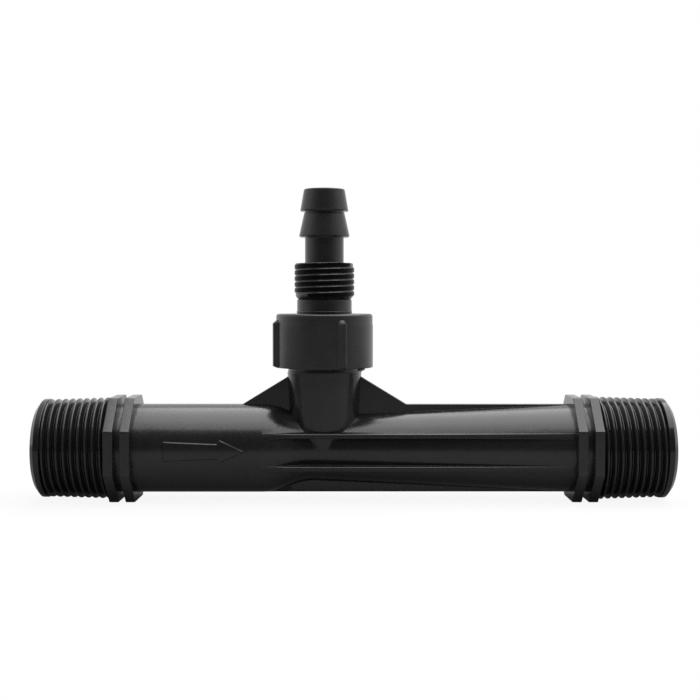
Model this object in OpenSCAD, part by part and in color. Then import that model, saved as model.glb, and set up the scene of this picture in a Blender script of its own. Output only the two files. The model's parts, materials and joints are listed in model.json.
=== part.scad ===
// Venturi fertilizer injector: a moulded venturi pipe with threaded ends, and a
// suction port that holds a hose tail under a union nut over a spring check ball.
// Millimetres. +X is the flow, +Z the suction port, and the part stands on its collars at Z = 0.

/* [Pipe ends] */
// Overall length, end to end
body_len = 161; // [140:1:220]
// Inside diameter at both pipe ends
bore_d = 18.2; // [12:0.1:19]
// Major diameter of the pipe thread at the inlet
inlet_thread_d = 26.1; // [25.8:0.01:33.3]
// Major diameter of the pipe thread at the outlet
outlet_thread_d = 26.44; // [25.8:0.01:33.3]
// Pitch of the pipe thread
thread_pitch = 1.814; // [1:0.001:2.309]
// Length of each threaded end, from the tip to the collars
thread_len = 18.5; // [12:0.5:26]
// Length of the plain lead-in ring at each tip
lead_len = 2.2; // [1.5:0.1:4]
// Depth of the lead-in ring below the crests of the thread
lead_drop = 0.45; // [0.2:0.05:1]
// Chamfer on each tip
lead_chamfer = 1; // [0.2:0.1:1.4]

/* [Wrench collars] */
// Width of one octagon collar
collar_w = 2.45; // [1.5:0.1:5]
// Groove between the two collars of one end
collar_gap = 1.7; // [1:0.1:4]
// Height of the collar flats above the larger thread's crests
collar_rise = 0.05; // [0.02:0.01:3]

/* [Venturi] */
// Wall of the inlet tube
tube_wall = 2.2; // [1.6:0.05:2.6]
// Distance from the middle of the body back to the suction port
port_back = 7.5; // [0:0.5:20]
// Inside diameter of the throat
throat_d = 6; // [4:0.1:8]
// Length of the throat, centred under the suction port
throat_len = 6; // [4:0.5:12]
// Outside diameter of the throat
throat_od = 16.9; // [13:0.1:18]
// Distance from the port axis back to the start of the shoulder
shoulder_back = 13.5; // [11:0.5:20]
// Length of the shoulder between the inlet tube and the throat
shoulder_len = 8; // [4:0.5:10]
// Length of the straight bore at the inlet
inlet_bore_len = 34; // [20:1:40]
// Length of the straight bore at the outlet
outlet_bore_len = 23; // [10:1:40]

/* [Ribs and arrow] */
// Thickness of the upright ribs and gussets
rib_t = 1.8; // [1:0.1:3]
// Thickness of the level ribs at the sides
side_rib_t = 1.3; // [0.8:0.1:2]
// Distance between the middles of the two level ribs
side_rib_pitch = 8.2; // [6:0.1:11]
// Foot of each gusset, from the port axis
gusset_run = 21.5; // [16:0.5:26]
// Height of each gusset at the boss, above the pipe axis
gusset_top = 18.4; // [15:0.1:19]
// Length of the raised flow arrow
arrow_len = 20; // [12:0.5:22]
// Distance from the port axis back to the arrow's tip
arrow_back = 19.5; // [18:0.5:24]
// Length of the arrow's head
arrow_head = 6; // [4:0.5:8]
// Half height of the arrow's head
arrow_half = 2.75; // [2.4:0.05:4]
// Half height of the arrow's shaft at its tail
arrow_tail_half = 2.35; // [1:0.05:2.4]
// Half height of the arrow's shaft at its head
arrow_neck_half = 1.8; // [0.8:0.05:2.2]
// Height of the arrow above the tube
arrow_rise = 0.4; // [0.2:0.05:0.8]

/* [Suction boss] */
// Height of the boss rim above the pipe axis
boss_h = 28.4; // [27:0.1:34]
// Diameter of the boss where its sides reach the pipe axis
boss_foot_d = 16.8; // [14:0.1:18]
// Diameter of the boss under its thread
boss_top_d = 18.9; // [17:0.1:19.2]
// Major diameter of the boss thread
boss_thread_d = 20.955; // [20:0.005:24]
// Length of the boss thread, down from the rim
boss_thread_len = 8.8; // [7:0.1:9]
// Diameter of the valve chamber in the boss
chamber_d = 12; // [10:0.1:13]
// Depth of the valve chamber below the rim
chamber_depth = 13.4; // [12.5:0.1:15]
// Diameter of the suction hole from the chamber to the throat
suction_d = 3.2; // [2:0.1:4]

/* [Union nut] */
// Wall of the nut's skirt
nut_wall = 1.9; // [1.2:0.05:3]
// Thickness of the nut's lid
nut_lid = 2.45; // [1.5:0.05:4]
// Length of the nut's skirt below the boss rim
nut_overlap = 7.6; // [5:0.1:8]
// Radius of the nut's rounded top edge
nut_round = 0.8; // [0.2:0.1:1.2]
// Width of a grip rib
grip_w = 2.3; // [1:0.1:4]
// Height of a grip rib above the skirt
grip_rise = 1.05; // [0.4:0.05:2]
// Distance from the nut's top down to the grip ribs
grip_drop = 1.5; // [1:0.1:4]
// Turn of the first grip rib from the front towards the outlet, in degrees
grip_turn = 22.5; // [0:0.5:60]
// Angle between the two grip ribs at the front, in degrees; the third is midway behind them
grip_spread = 96.5; // [60:0.5:150]

/* [Hose tail] */
// Bore of the hose tail at its tip
tail_bore_d = 6.6; // [4:0.1:7.6]
// Length of that bore, down from the tip
tail_bore_len = 21; // [16:0.5:26]
// Wider bore below it, through the neck and the flange
neck_bore_d = 8.8; // [8:0.1:9.4]
// Diameter of the flange under the nut
flange_d = 19.2; // [17:0.1:20]
// Thickness of the flange
flange_t = 2; // [1.2:0.1:3]
// Diameter of the neck that passes through the nut
neck_d = 14; // [12:0.1:14.5]
// Length of the neck above the flange
neck_len = 6.05; // [4.5:0.05:10]
// Depth of the undercut between the neck and the lock thread
undercut = 0.3; // [0.1:0.05:0.6]
// Width of the undercut
undercut_w = 0.7; // [0.4:0.1:2]
// Major diameter of the lock-nut thread
lock_d = 15.3; // [14.6:0.05:17]
// Pitch of the lock-nut thread
lock_pitch = 1.5; // [1.3:0.05:2]
// Depth of the lock-nut thread
lock_depth = 0.4; // [0.3:0.05:0.6]
// Length of the lock-nut thread
lock_len = 8.6; // [5:0.1:14]
// Diameter of the shank below the barbs
shank_d = 9.9; // [9:0.1:11]
// Length of the shank
shank_len = 6.7; // [3:0.1:12]
// Largest diameter of the lower barb
low_barb_d = 12.9; // [11.5:0.1:14]
// Largest diameter of the upper barb
top_barb_d = 12.3; // [11:0.1:14]
// Taper of the lower barb on its diameter
low_barb_taper = 2.6; // [0.6:0.1:2.8]
// Taper of the upper barb on its diameter
top_barb_taper = 1.9; // [0.6:0.1:2.4]
// Length of the lower barb
low_barb_len = 6; // [3:0.1:8]
// Length of the plain stretch between the barbs
barb_neck_len = 0.6; // [0.5:0.1:4]
// Length of the upper barb
top_barb_len = 5.6; // [4:0.1:10]
// Radius of the rounded tip
tip_round = 0.4; // [0.2:0.1:0.8]

/* [Check valve] */
// Thickness of the gasket
gasket_t = 1.6; // [1:0.1:3]
// Diameter of the gasket's hole, the seat of the ball
seat_d = 6.8; // [6:0.1:7.4]
// Diameter of the ball
ball_d = 8; // [7.6:0.1:9]
// Wire of the spring
wire_d = 0.6; // [0.4:0.05:0.8]
// Mean diameter of the spring
coil_d = 5.2; // [4.5:0.1:6]
// Turns of the spring
coil_turns = 4.5; // [3:0.5:6]

/* [Fits] */
// Radial running gap between the boss thread and the nut
thread_gap = 0.07; // [0.03:0.01:0.1]
// Radial gap between the lock thread and the hole in the nut's lid
lid_gap = 0.15; // [0.05:0.05:0.5]
// Gap between the lid and the tail's flange
lid_play = 0.05; // [0.02:0.01:0.2]
// Radial gap between the gasket and the nut
gasket_gap = 0.35; // [0.1:0.05:1]
// Gap between the ball and its seat, and between the ball and the spring
ball_gap = 0.1; // [0.05:0.01:0.2]

/* [Hidden] */
$fn = 96;
eps = 0.01;

// Moulded colours
body_black = [0.075, 0.078, 0.082];
nut_black = [0.085, 0.088, 0.092];
rubber_grey = [0.16, 0.16, 0.165];
ball_white = [0.86, 0.86, 0.83];
wire_steel = [0.72, 0.73, 0.75];

// Depth and half crest of a pipe thread for a pitch of one, half crest of the shallow lock
// thread, and the slope of their flanks
whitworth_depth = 0.6403;
whitworth_crest = 0.1;
lock_crest = 0.28;
flank = tan(27.5);

// Radii of the pipe
bore_r = bore_d / 2;
inlet_thread_r = inlet_thread_d / 2;
outlet_thread_r = outlet_thread_d / 2;
thread_depth = whitworth_depth * thread_pitch;
tube_r = bore_r + tube_wall;
throat_r = throat_d / 2;
throat_out_r = throat_od / 2;

// Octagon collars: the pipe axis lies at half their width across flats
collar_half = max(inlet_thread_r, outlet_thread_r) + collar_rise;
axis_z = collar_half;
collar_sides = 8;
collar_turn = 180 / collar_sides;
collar_corner_r = collar_half / cos(collar_turn);

// Stations along X
half_len = body_len / 2;
collar_out_x = half_len - thread_len;
collar_in_x = collar_out_x - 2 * collar_w - collar_gap;
port_x = -port_back;
shoulder_x = port_x - shoulder_back;

// How far a gusset's ends sink into the tube and the boss
gusset_sink = 0.3;

// Half crest of the pipe thread, its foot, and the crests that fit behind the lead-in ring
crest_half = whitworth_crest * thread_pitch;
crest_foot = crest_half + flank * thread_depth;
crest_count = 1 + floor((thread_len - lead_len - 2 * crest_foot) / thread_pitch);
last_crest_x = half_len - lead_len - crest_foot;

// Stations along Z
rim_z = axis_z + boss_h;
chamber_z = rim_z - chamber_depth;
boss_thread_z = rim_z - boss_thread_len;
boss_step = (boss_thread_d - boss_top_d) / 2;
gasket_z = rim_z;
flange_z = gasket_z + gasket_t;
lid_z = flange_z + flange_t + lid_play;
nut_top_z = lid_z + nut_lid;
nut_low_z = rim_z - nut_overlap;
undercut_z = flange_z + flange_t + neck_len;
lock_z = undercut_z + undercut_w;
lock_half = lock_crest * lock_pitch;
lock_foot = lock_half + flank * lock_depth;
lock_crests = 1 + floor((lock_len - 2 * lock_foot) / lock_pitch);
shank_z = lock_z + lock_len;
low_barb_z = shank_z + shank_len;
barb_neck_z = low_barb_z + low_barb_len;
top_barb_z = barb_neck_z + barb_neck_len;
tip_z = top_barb_z + top_barb_len;
tail_bore_z = tip_z - tail_bore_len;
bore_step = (neck_bore_d - tail_bore_d) / 2;

// Slant of the arrow's barbs, measured back along its shaft
arrow_notch = 0.7;

// Radii of the suction port
boss_thread_r = boss_thread_d / 2;
nut_bore_r = boss_thread_r + thread_gap;
nut_r = nut_bore_r + nut_wall;
lid_hole_r = lock_d / 2 + lid_gap;
gasket_r = nut_bore_r - gasket_gap;
low_barb_drop = low_barb_taper / 2;
top_barb_drop = top_barb_taper / 2;
barb_land = 0.4;

// The ball hangs just under its seat, and the spring reaches from the chamber's floor to the ball
ball_r = ball_d / 2;
ball_z = gasket_z - sqrt(pow(ball_r + ball_gap, 2) - pow(seat_d / 2, 2));
wire_r = wire_d / 2;
coil_r = coil_d / 2;
spring_low_z = chamber_z + wire_r;
spring_top_z = ball_z - sqrt(pow(ball_r + wire_r + ball_gap, 2) - pow(coil_r, 2));

// Lay a shape that stands along Z down the pipe axis, pointing downstream
module along_pipe(x = 0) {
  translate([x, 0, axis_z]) rotate([0, 90, 0]) children();
}

// Stand a shape on the port axis at a height
module at_port(z = 0) {
  translate([port_x, 0, z]) children();
}

// Outline of one crest of a thread, from foot to foot
function crest(at, major_r, half, depth) = [
  [major_r - depth, at - half - flank * depth], [major_r, at - half],
  [major_r, at + half], [major_r - depth, at + half + flank * depth]
];

// One pipe end, drawn for the outlet: lead-in ring, thread crests and two octagon collars
module pipe_end(thread_r) {
  root_r = thread_r - thread_depth;
  lead_r = thread_r - lead_drop;
  crests = [
    for (i = [crest_count - 1 : -1 : 0])
      each crest(last_crest_x - i * thread_pitch, thread_r, crest_half, thread_depth)
  ];
  along_pipe() rotate_extrude() polygon(concat(
    [[0, collar_in_x], [tube_r, collar_in_x], [tube_r, collar_out_x - collar_w / 2],
     [root_r, collar_out_x - collar_w / 2]],
    crests,
    [[lead_r, half_len - lead_len], [lead_r, half_len - lead_chamfer],
     [lead_r - lead_chamfer, half_len], [0, half_len]]
  ));
  for (x = [collar_in_x, collar_out_x - collar_w])
    along_pipe(x) rotate(collar_turn) cylinder(r = collar_corner_r, h = collar_w, $fn = collar_sides);
}

// Inlet tube, shoulder, throat and the long diffuser cone
module venturi_skin() {
  along_pipe() rotate_extrude() polygon([
    [0, -collar_in_x - eps], [tube_r, -collar_in_x - eps], [tube_r, shoulder_x],
    [throat_out_r, shoulder_x + shoulder_len], [throat_out_r, port_x],
    [tube_r, collar_in_x + eps], [0, collar_in_x + eps]
  ]);
}

// Upright and level ribs along the diffuser, trimmed to the round of the inlet tube
module diffuser_ribs() {
  rib_x = shoulder_x - eps;
  rib_len = collar_in_x + eps - rib_x;
  intersection() {
    along_pipe(rib_x) cylinder(r = tube_r, h = rib_len);
    union() {
      translate([rib_x, -rib_t / 2, axis_z - tube_r]) cube([rib_len, rib_t, 2 * tube_r]);
      for (side = [-1, 1])
        translate([rib_x, -tube_r, axis_z + side * side_rib_pitch / 2 - side_rib_t / 2])
          cube([rib_len, 2 * tube_r, side_rib_t]);
    }
  }
}

// Two gussets that brace the boss along the pipe
module gussets() {
  foot_z = tube_r - gusset_sink;
  top_x = boss_top_d / 2 - gusset_sink;
  at_port(axis_z) rotate([90, 0, 0]) linear_extrude(rib_t, center = true) polygon([
    [-gusset_run, foot_z], [-top_x, gusset_top], [top_x, gusset_top], [gusset_run, foot_z],
    [gusset_run, throat_out_r], [-gusset_run, throat_out_r]
  ]);
}

// Suction boss: a drafted cone that carries the nut's thread
module boss() {
  at_port(axis_z)
    cylinder(d1 = boss_foot_d, d2 = boss_top_d, h = boss_h - boss_thread_len);
  at_port(boss_thread_z - eps)
    cylinder(d1 = boss_top_d, d2 = boss_thread_d, h = boss_step + eps);
  at_port(boss_thread_z + boss_step)
    cylinder(r = boss_thread_r, h = boss_thread_len - boss_step);
}

// Raised arrow on the front of the inlet tube, pointing downstream
module flow_arrow() {
  tip_x = port_x - arrow_back;
  barb_x = -arrow_head;
  neck_x = barb_x - arrow_notch;
  intersection() {
    along_pipe(tip_x - arrow_len) cylinder(r = tube_r + arrow_rise, h = arrow_len);
    translate([tip_x, 0, axis_z]) rotate([90, 0, 0]) linear_extrude(tube_r + arrow_rise) polygon([
      [0, 0], [barb_x, arrow_half], [neck_x, arrow_neck_half], [-arrow_len, arrow_tail_half],
      [-arrow_len, -arrow_tail_half], [neck_x, -arrow_neck_half], [barb_x, -arrow_half]
    ]);
  }
}

// Water way: inlet bore, converging cone, throat, diffuser and outlet bore
module water_way() {
  along_pipe() rotate_extrude() polygon([
    [0, -half_len - eps], [bore_r, -half_len - eps], [bore_r, -half_len + inlet_bore_len],
    [throat_r, port_x - throat_len / 2], [throat_r, port_x + throat_len / 2],
    [bore_r, half_len - outlet_bore_len], [bore_r, half_len + eps], [0, half_len + eps]
  ]);
}

// Valve chamber in the boss, with the suction hole down to the throat
module suction_way() {
  at_port(chamber_z) cylinder(d = chamber_d, h = chamber_depth + eps);
  at_port(axis_z) cylinder(d = suction_d, h = chamber_z - axis_z + eps);
}

// One moulded piece
module body() {
  color(body_black) difference() {
    union() {
      pipe_end(outlet_thread_r);
      mirror([1, 0, 0]) pipe_end(inlet_thread_r);
      venturi_skin();
      diffuser_ribs();
      gussets();
      boss();
      flow_arrow();
    }
    water_way();
    suction_way();
  }
}

// One grip rib on the +X side: an arched outline pushed out from inside the skirt
module grip_rib(h) {
  root = nut_bore_r + nut_wall / 2;
  rotate([90, 0, 90]) translate([0, 0, root]) linear_extrude(nut_r + grip_rise - root) union() {
    translate([-grip_w / 2, 0]) square([grip_w, h - grip_w / 2]);
    translate([0, h - grip_w / 2]) circle(d = grip_w, $fn = 48);
  }
}

// Union nut: a round cap with three grip ribs, screwed over the boss
module union_nut() {
  skirt_h = nut_top_z - nut_low_z;
  grip_turns = [grip_turn, grip_turn - grip_spread, grip_turn + (360 - grip_spread) / 2];
  color(nut_black) difference() {
    union() {
      at_port(nut_low_z) rotate_extrude() union() {
        square([nut_r, skirt_h - nut_round]);
        square([nut_r - nut_round, skirt_h]);
        translate([nut_r - nut_round, skirt_h - nut_round]) circle(nut_round, $fn = 48);
      }
      for (turn = grip_turns)
        at_port(nut_low_z) rotate(turn - 90) grip_rib(skirt_h - grip_drop);
    }
    at_port(nut_low_z - eps) cylinder(r = nut_bore_r, h = lid_z - nut_low_z + eps);
    at_port(lid_z - eps) cylinder(r = lid_hole_r, h = nut_lid + 2 * eps);
  }
}

// Hose tail: flange, neck, crests of the lock thread, shank and two barbs on a stepped bore
module hose_tail() {
  low_r = low_barb_d / 2;
  top_r = top_barb_d / 2;
  tip_r = top_r - top_barb_drop;
  top_crest_z = shank_z - lock_foot;
  crests = [
    for (i = [lock_crests - 1 : -1 : 0])
      each crest(top_crest_z - i * lock_pitch, lock_d / 2, lock_half, lock_depth)
  ];
  color(body_black) at_port() difference() {
    rotate_extrude() union() {
      polygon(concat(
        [[0, flange_z], [flange_d / 2, flange_z], [flange_d / 2, flange_z + flange_t],
         [neck_d / 2, flange_z + flange_t], [neck_d / 2, undercut_z],
         [neck_d / 2 - undercut, undercut_z], [neck_d / 2 - undercut, lock_z],
         [lock_d / 2 - lock_depth, lock_z]],
        crests,
        [[shank_d / 2, shank_z], [shank_d / 2, low_barb_z], [low_r, low_barb_z],
         [low_r, low_barb_z + barb_land], [low_r - low_barb_drop, barb_neck_z],
         [low_r - low_barb_drop, top_barb_z], [top_r, top_barb_z], [top_r, top_barb_z + barb_land],
         [tip_r, tip_z - tip_round], [tip_r - tip_round, tip_z], [0, tip_z]]
      ));
      translate([tip_r - tip_round, tip_z - tip_round]) circle(tip_round, $fn = 32);
    }
    translate([0, 0, tail_bore_z - eps]) cylinder(d = tail_bore_d, h = tail_bore_len + 2 * eps);
    translate([0, 0, tail_bore_z - bore_step])
      cylinder(d1 = neck_bore_d, d2 = tail_bore_d, h = bore_step);
    translate([0, 0, flange_z - eps])
      cylinder(d = neck_bore_d, h = tail_bore_z - bore_step - flange_z + 2 * eps);
  }
}

// Flat ring under the flange: seals the rim and seats the ball
module tail_gasket() {
  color(rubber_grey) at_port(gasket_z) difference() {
    cylinder(r = gasket_r, h = gasket_t);
    translate([0, 0, -eps]) cylinder(d = seat_d, h = gasket_t + 2 * eps);
  }
}

module check_ball() {
  color(ball_white) at_port(ball_z) sphere(r = ball_r);
}

// Light compression spring, swept along its helix with closed ends
module check_spring() {
  sides = 8;
  steps = round(20 * coil_turns);
  rise = spring_top_z - spring_low_z;
  rings = [
    for (i = [0 : steps]) let (turn = 360 * coil_turns * i / steps, z = rise * i / steps)
      [for (k = [0 : sides - 1]) let (a = 360 * k / sides, r = coil_r + wire_r * cos(a))
        [r * cos(turn), r * sin(turn), z + wire_r * sin(a)]]
  ];
  walls = [
    for (i = [0 : steps - 1], k = [0 : sides - 1]) let (n = (k + 1) % sides)
      [i * sides + k, i * sides + n, (i + 1) * sides + n, (i + 1) * sides + k]
  ];
  ends = [
    [for (k = [sides - 1 : -1 : 0]) k],
    [for (k = [0 : sides - 1]) steps * sides + k]
  ];
  color(wire_steel) at_port(spring_low_z)
    polyhedron([for (ring = rings) each ring], concat(walls, ends));
}

body();
union_nut();
hose_tail();
tail_gasket();
check_ball();
check_spring();
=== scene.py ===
import json
import math

import bmesh
import bpy
from mathutils import Matrix, Vector


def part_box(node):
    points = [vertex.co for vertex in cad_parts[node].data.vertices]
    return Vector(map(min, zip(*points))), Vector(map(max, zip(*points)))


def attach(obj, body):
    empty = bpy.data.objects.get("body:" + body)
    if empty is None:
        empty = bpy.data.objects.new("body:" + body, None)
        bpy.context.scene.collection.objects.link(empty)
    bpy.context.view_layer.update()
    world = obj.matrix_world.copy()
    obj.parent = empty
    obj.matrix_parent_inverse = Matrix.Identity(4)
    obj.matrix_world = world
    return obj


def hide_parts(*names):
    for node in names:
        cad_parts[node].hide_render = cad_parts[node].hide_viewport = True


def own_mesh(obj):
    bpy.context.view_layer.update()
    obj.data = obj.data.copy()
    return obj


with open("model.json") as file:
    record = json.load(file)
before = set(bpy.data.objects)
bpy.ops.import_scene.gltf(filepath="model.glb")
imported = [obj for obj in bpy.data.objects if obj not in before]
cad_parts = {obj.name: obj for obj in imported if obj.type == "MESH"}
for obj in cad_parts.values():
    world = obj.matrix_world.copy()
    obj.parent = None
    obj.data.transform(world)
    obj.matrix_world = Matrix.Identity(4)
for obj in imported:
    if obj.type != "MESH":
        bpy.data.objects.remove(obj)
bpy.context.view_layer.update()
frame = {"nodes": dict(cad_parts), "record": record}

# Sizes are in millimetres while a piece is made, and its mesh is brought to metres at the end.
MM = 0.001
mounts = {mount["name"]: mount for mount in frame["record"]["mounts"]}


def node_span(node):
    """Lowest and highest corner of a solid, in millimetres."""
    low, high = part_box(node)
    return [c / MM for c in low], [c / MM for c in high]


body_low, body_high = node_span("body")
nut_low, nut_high = node_span("union_nut")
tail_low, tail_high = node_span("hose_tail")
gasket_low, gasket_high = node_span("tail_gasket")
spring_low, spring_high = node_span("check_spring")

# Pipe: the ends, their threads and the wrench collars
AXIS_Z = mounts["inlet_thread"]["pos_m"][2] / MM
HALF_LEN = body_high[0]
INLET_R = mounts["inlet_thread"]["dims"]["r_mm"]
OUTLET_R = mounts["outlet_thread"]["dims"]["r_mm"]
INLET_TOP_CREST = 79.67
OUTLET_TOP_CREST = 78.8
THREAD_PITCH = 1.814
THREAD_DEPTH = 0.6403 * THREAD_PITCH
THREAD_CREST = 0.34
THREAD_TAPER = 0.6
INLET_LEAD = 2.75
OUTLET_LEAD = 2.7
LEAD_DROP = 0.45
LEAD_CHAMFER = 1.1
BORE_R = mounts["inlet_bore"]["dims"]["r_mm"]
BORE_EDGE = 0.35
TUBE_R = BORE_R + 2.2
COLLAR_OUT_X = HALF_LEN - 18.5
COLLAR_W = 2.45
COLLAR_GAP = 1.7
COLLAR_IN_X = COLLAR_OUT_X - 2 * COLLAR_W - COLLAR_GAP
COLLAR_SIDES = 8
COLLAR_EDGE = 0.22

# Venturi: shoulder, throat, diffuser and its ribs
PORT_X = mounts["lock_nut_thread"]["pos_m"][0] / MM
SHOULDER_X = PORT_X - 13.5
SHOULDER_LEN = 8.0
SHOULDER_ROUND = 0.7
SHOULDER_FOOT = 1.2
THROAT_OUT_R = 8.45
SHOULDER_FALL = (TUBE_R - THROAT_OUT_R) / SHOULDER_LEN
ROUND_X = SHOULDER_X - SHOULDER_ROUND / SHOULDER_FALL
DIFFUSER_END_R = TUBE_R - 0.12
THROAT_R = 3.0
THROAT_LEN = 6.0
INLET_BORE = mounts["inlet_bore"]["dims"]["length_mm"]
OUTLET_BORE = mounts["outlet_bore"]["dims"]["length_mm"]
RIB_T = 1.8
SIDE_RIB_T = 1.3
SIDE_RIB_H = 4.1
RIB_FILLET = 0.08
SIDE_RIB_EDGE = 0.5
CROWN_EDGE = 0.14

# Flow arrow on the front of the inlet tube
ARROW_TIP_X = PORT_X - 19.8
ARROW_LEN = 20.0
ARROW_HEAD = 6.0
ARROW_NOTCH = 0.7
ARROW_HALF = 2.75
ARROW_NECK = 1.8
ARROW_TAIL = 2.35
ARROW_RISE = 0.4
ARROW_LIFT = 0.4
ARROW_DRAFT = 0.32
ARROW_EASE = 0.1
ARROW_SUNK = -0.5

# Suction boss with its two gussets
RIM_Z = body_high[2]
BOSS_FOOT_R = 8.4
BOSS_TOP_R = 9.45
BOSS_CONE_TOP = RIM_Z - 8.8
BOSS_THREAD_R = 10.4775
CHAMBER_R = 6.0
CHAMBER_Z = RIM_Z - 13.4
SUCTION_R = 1.6
GUSSET_T = 1.84
GUSSET_RUN = 21.5
GUSSET_FOOT = 11.0
GUSSET_TOP = 18.4
GUSSET_EDGE = 0.28
GUSSET_FILLET = 0.12

# Union nut
NUT_LOW_Z = nut_low[2]
NUT_TOP_Z = nut_high[2]
NUT_BORE_R = BOSS_THREAD_R + 0.07
NUT_R = NUT_BORE_R + 1.9
NUT_LID = 2.45
NUT_ROUND = 0.8
NUT_BAND = 2.8
NUT_BAND_DROP = 0.09
LID_HOLE_R = 7.8
GRIP_COUNT = 3
GRIP_W = 2.6
GRIP_RISE = 1.05
GRIP_DROP = 1.5
GRIP_EDGE = 0.2
GRIP_DRAFT = 0.7
GRIP_SPREAD = math.radians(96.5)
GRIP_TURN = math.radians(22.5 - 90) - GRIP_SPREAD

# Hose tail
FLANGE_Z = tail_low[2]
TIP_Z = tail_high[2]
FLANGE_R = 9.6
FLANGE_T = 2.0
NECK_R = 7.0
NECK_BEAD = 0.14
NECK_BEAD_Z = NUT_TOP_Z + 0.55
UNDERCUT = 0.3
UNDERCUT_W = 0.7
NECK_LEN = 6.05
LOCK_R = mounts["lock_nut_thread"]["dims"]["r_mm"]
LOCK_LEN = 8.6
LOCK_Z = FLANGE_Z + FLANGE_T + NECK_LEN + UNDERCUT_W
LOCK_PITCH = 1.5
LOCK_DEPTH = 0.3
LOCK_CREST = 0.85
LOCK_LEAN = -0.25
SHANK_R = 4.95
SHANK_LEN = 6.7
LOW_BARB_R = 6.45
LOW_BARB_TOP = 5.2
LOW_BARB_LEN = 6.0
BARB_NECK_R = 5.05
BARB_NECK = 0.6
TOP_BARB_R = 6.15
TOP_BARB_TIP = 5.2
TIP_ROUND = 0.4
TAIL_BORE_R = mounts["tail_bore"]["dims"]["r_mm"]
TAIL_BORE_LEN = mounts["tail_bore"]["dims"]["length_mm"]
NECK_BORE_R = 4.4

# Gasket and spring
GASKET_R = (gasket_high[0] - gasket_low[0]) / 2
SEAT_R = 3.4
WIRE_R = 0.3
COIL_R = 2.6
COIL_TURNS = 4.5

# How finely round things are cut
SIDES = 128
ARC_STEPS = 4
TURN_STEPS = 72
SHARP = math.radians(38)

# Turn that points a thread's ridge outwards on its helix
THREAD_ROLL = -math.pi / 2

# Camera: where it stands, what it looks at, and its focal length in pixels of the picture's width
EYE = (-0.94, -295.2, 51.0)
AIM = (-0.94, 0.0, 38.45)
FOCAL_PX = 1150
PICTURE_PX = 700
SENSOR_W = 36.0

# Floor: its tone for the light and for the camera, and its share of plain white to the camera and to glosses
FLOOR_HALF = 2.5
FLOOR_GREY = 0.38
FLOOR_PALE = 0.85
FLOOR_LIFT = 0.91
FLOOR_SHINE = 0.05

# Backdrop: what glosses see of it from the front, and the level that fills the shade
WORLD_FRONT = 0.08
WORLD_FILL = 0.25

# Softboxes, in metres: both hang level, one over the part and behind it, one before it
BOX_X = 0.12
BOX_Z = 0.48
BOX_W = 0.58
TOP_BOX_Y = 0.15
TOP_BOX_DEPTH = 0.58
TOP_BOX_LEVEL = 3.2
FRONT_BOX_Y = -0.245
FRONT_BOX_DEPTH = 0.21
FRONT_BOX_LEVEL = 2.7


# Meshes

def new_object(name, verts, faces):
    mesh = bpy.data.meshes.new(name)
    mesh.from_pydata([tuple(v) for v in verts], [], faces)
    shape = bpy.data.objects.new(name, mesh)
    bpy.context.scene.collection.objects.link(shape)
    return shape


def face_outwards(shape):
    shell = bmesh.new()
    shell.from_mesh(shape.data)
    bmesh.ops.recalc_face_normals(shell, faces=shell.faces)
    shell.to_mesh(shape.data)
    shell.free()
    return shape


def arc(centre, radius, start, end, steps):
    """Points on a circle from one angle to another, both ends included."""
    points = []
    for i in range(steps + 1):
        a = start + (end - start) * i / steps
        points.append((centre[0] + radius * math.cos(a), centre[1] + radius * math.sin(a)))
    return points


def soften(corners):
    """Path through corners (r, h, round), with an arc in place of each rounded corner."""
    path = []
    for i, (r, h, bend) in enumerate(corners):
        if bend == 0:
            path.append((r, h))
            continue
        here = Vector((r, h))
        before = Vector(corners[i - 1][:2]) - here
        after = Vector(corners[(i + 1) % len(corners)][:2]) - here
        half = before.angle(after) / 2
        run = min(bend / math.tan(half), 0.49 * before.length, 0.49 * after.length)
        start = here + before.normalized() * run
        end = here + after.normalized() * run
        for k in range(ARC_STEPS + 1):
            t = k / ARC_STEPS
            path.append(tuple(start * (1 - t) ** 2 + here * (2 * t * (1 - t)) + end * t ** 2))
    return path


def turned(name, corners, sides=SIDES):
    """Solid of revolution about Z; a path that starts and ends on the axis gets closed poles."""
    path = soften(corners)
    poles = path[0][0] == 0 and path[-1][0] == 0
    rings = path[1:-1] if poles else path
    verts = []
    for r, h in rings:
        for k in range(sides):
            a = 2 * math.pi * k / sides
            verts.append((r * math.cos(a), r * math.sin(a), h))
    faces = []
    spans = len(rings) - 1 if poles else len(rings)
    for i in range(spans):
        j = (i + 1) % len(rings)
        for k in range(sides):
            n = (k + 1) % sides
            faces.append((i * sides + k, i * sides + n, j * sides + n, j * sides + k))
    if poles:
        last = (len(rings) - 1) * sides
        low = len(verts)
        verts += [(0, 0, path[0][1]), (0, 0, path[-1][1])]
        for k in range(sides):
            n = (k + 1) % sides
            faces.append((low, n, k))
            faces.append((low + 1, last + k, last + n))
    return face_outwards(new_object(name, verts, faces))


def lofted(name, rings):
    """Closed skin through rings of the same count, capped flat at both ends."""
    count = len(rings[0])
    verts = [point for ring in rings for point in ring]
    faces = [tuple(range(count))]
    for i in range(len(rings) - 1):
        for k in range(count):
            n = (k + 1) % count
            faces.append((i * count + k, i * count + n, (i + 1) * count + n, (i + 1) * count + k))
    faces.append(tuple((len(rings) - 1) * count + k for k in range(count)))
    return face_outwards(new_object(name, verts, faces))


def mirrored_ring(quarter):
    """Whole outline from a quarter that runs from one axis to the other, both ends included."""
    side = [(-a, b) for a, b in reversed(quarter)][1:]
    under = [(-a, -b) for a, b in quarter][1:]
    back = [(a, -b) for a, b in reversed(quarter)][1:-1]
    return quarter + side + under + back


def along_pipe(shape, turn=0.0):
    """Lay a piece that stands on Z down the pipe axis, towards the outlet or turned to the inlet."""
    lay = Matrix.Rotation(turn, 4, "Z") @ Matrix.Rotation(math.pi / 2, 4, "Y")
    shape.data.transform(Matrix.Translation((0, 0, AXIS_Z)) @ lay)
    return shape


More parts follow.
